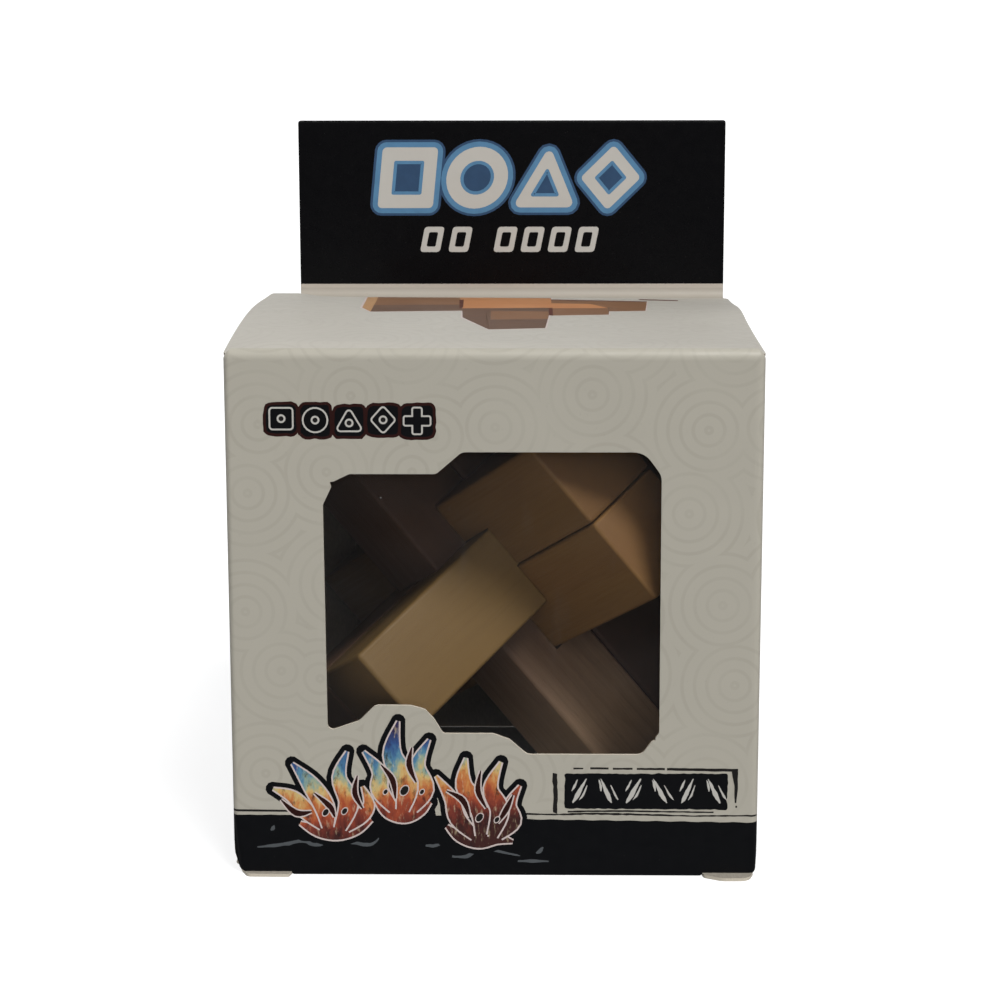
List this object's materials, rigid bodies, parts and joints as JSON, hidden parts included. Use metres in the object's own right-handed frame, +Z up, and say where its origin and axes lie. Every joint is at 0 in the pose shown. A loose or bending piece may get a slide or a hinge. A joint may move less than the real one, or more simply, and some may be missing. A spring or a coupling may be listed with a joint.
{
  "type": "wooden burr puzzle in a window carton",
  "caption": "Interlocking puzzle of notched square wooden sticks, standing in its straight-tuck folding carton with a header and a clear window.",
  "frame": {"origin": "centre of the carton's foot, on the surface it stands on", "axes": "+Z up through the header, +X to the right as seen from the window, the window faces -Y"},
  "size_m": [0.075, 0.075, 0.1043],
  "materials": {
    "printed_board": "satin printed folding board, warm grey-white",
    "glossy_dark_board": "glossy near-black print",
    "lid_board": "satin print in light and brown",
    "plain_board": "uncoated white inner side",
    "clear_film": "clear glossy film",
    "wood_tan": "waxed light hardwood",
    "wood_brown": "waxed hardwood, a little darker"
  },
  "bodies": {
    "carton": {"front_panel": "printed_board", "left_side_panel": "printed_board", "right_side_panel": "printed_board", "back_panel": "printed_board", "header_front_ply": "glossy_dark_board", "glue_flap": "plain_board", "window_film": "clear_film", "key_neighbour_stick": "wood_tan", "falling_stick_left": "wood_brown", "falling_stick_right": "wood_brown", "rising_stick_rear": "wood_brown", "rising_stick_front": "wood_tan"},
    "key": {"key_stick": "wood_tan"},
    "lid": {"lid_panel": "lid_board"},
    "lid_tuck": {"lid_tuck_flap": "plain_board"},
    "lid_flap_left": {"lid_dust_flap_left": "plain_board"},
    "lid_flap_right": {"lid_dust_flap_right": "plain_board"},
    "bottom": {"bottom_panel": "printed_board"},
    "bottom_tuck": {"bottom_tuck_flap": "plain_board"},
    "bottom_flap_left": {"bottom_dust_flap_left": "plain_board"},
    "bottom_flap_right": {"bottom_dust_flap_right": "plain_board"}
  },
  "joints": [
    {"name": "key_slide", "type": "slide", "parent": "carton", "child": "key", "axis": [-0.4642, 0.7727, -0.4329], "range_m": [-0.002, 0.0045]},
    {"name": "lid_hinge", "type": "hinge", "parent": "carton", "child": "lid", "pos_m": [0, 0.0366, 0.075], "axis": [-1, 0, 0], "range_deg": [0, 78]},
    {"name": "lid_tuck_crease", "type": "hinge", "parent": "lid", "child": "lid_tuck", "pos_m": [0, -0.03695, 0.07455], "axis": [-1, 0, 0], "range_deg": [0, 20]},
    {"name": "lid_flap_left_crease", "type": "hinge", "parent": "carton", "child": "lid_flap_left", "pos_m": [-0.0375, 0, 0.07399], "axis": [0, -1, 0], "range_deg": [0, 63]},
    {"name": "lid_flap_right_crease", "type": "hinge", "parent": "carton", "child": "lid_flap_right", "pos_m": [0.0375, 0, 0.07399], "axis": [0, 1, 0], "range_deg": [0, 63]},
    {"name": "bottom_hinge", "type": "hinge", "parent": "carton", "child": "bottom", "pos_m": [0, 0.03705, 0], "axis": [1, 0, 0], "range_deg": [0, 100]},
    {"name": "bottom_tuck_crease", "type": "hinge", "parent": "bottom", "child": "bottom_tuck", "pos_m": [0, -0.03695, 0.00045], "axis": [1, 0, 0], "range_deg": [0, 25]},
    {"name": "bottom_flap_left_crease", "type": "hinge", "parent": "carton", "child": "bottom_flap_left", "pos_m": [-0.0375, 0, 0.00096], "axis": [0, 1, 0], "range_deg": [0, 80]},
    {"name": "bottom_flap_right_crease", "type": "hinge", "parent": "carton", "child": "bottom_flap_right", "pos_m": [0.0375, 0, 0.00096], "axis": [0, -1, 0], "range_deg": [0, 80]}
  ],
  "couplings": [
    {"joint": "lid_tuck_crease", "follows": "lid_hinge", "ratio": 0.25},
    {"joint": "lid_flap_left_crease", "follows": "lid_hinge", "ratio": 0.8},
    {"joint": "lid_flap_right_crease", "follows": "lid_hinge", "ratio": 0.8},
    {"joint": "bottom_tuck_crease", "follows": "bottom_hinge", "ratio": 0.25},
    {"joint": "bottom_flap_left_crease", "follows": "bottom_hinge", "ratio": 0.8},
    {"joint": "bottom_flap_right_crease", "follows": "bottom_hinge", "ratio": 0.8}
  ]
}
